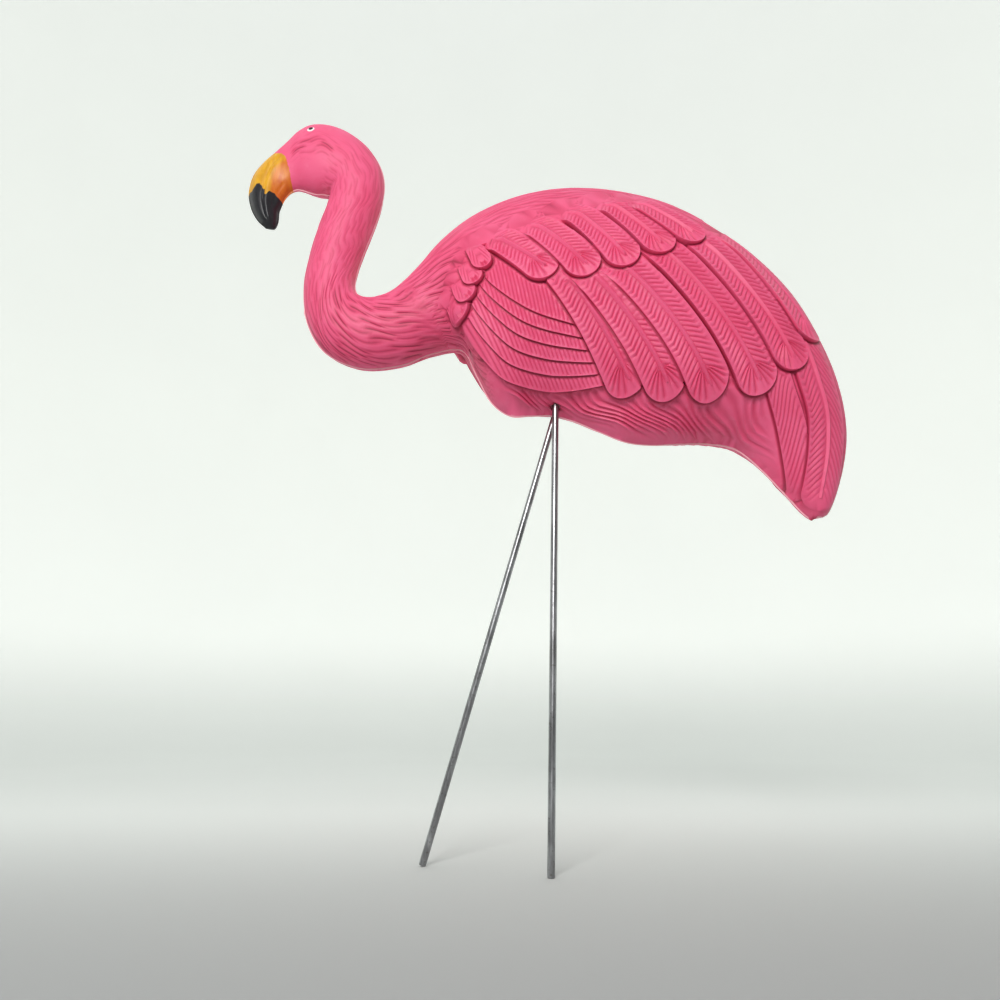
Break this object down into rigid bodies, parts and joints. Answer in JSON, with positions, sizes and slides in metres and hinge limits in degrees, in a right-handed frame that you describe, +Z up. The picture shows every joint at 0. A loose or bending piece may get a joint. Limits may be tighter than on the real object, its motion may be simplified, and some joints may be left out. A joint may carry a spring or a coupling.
{
  "type": "pink flamingo lawn ornament",
  "caption": "Blow-moulded plastic flamingo with carved feathers and an S-shaped neck, held up by slim steel rods pushed into the ground.",
  "frame": {"origin": "on the ground, on the bird's plane of symmetry, midway between the lower ends of the rods", "axes": "+X from bill to tail, +Y to the bird's right, +Z up"},
  "size_m": [0.5974, 0.1646, 0.7433],
  "materials": {
    "plastic": "pink moulded polyethylene with a soft sheen, bill painted yellow, orange and black",
    "rod": "drawn galvanised wire rod with cut ends"
  },
  "bodies": {
    "root": {"body": "plastic", "left_leg": "rod", "right_leg": "rod"}
  },
  "joints": []
}
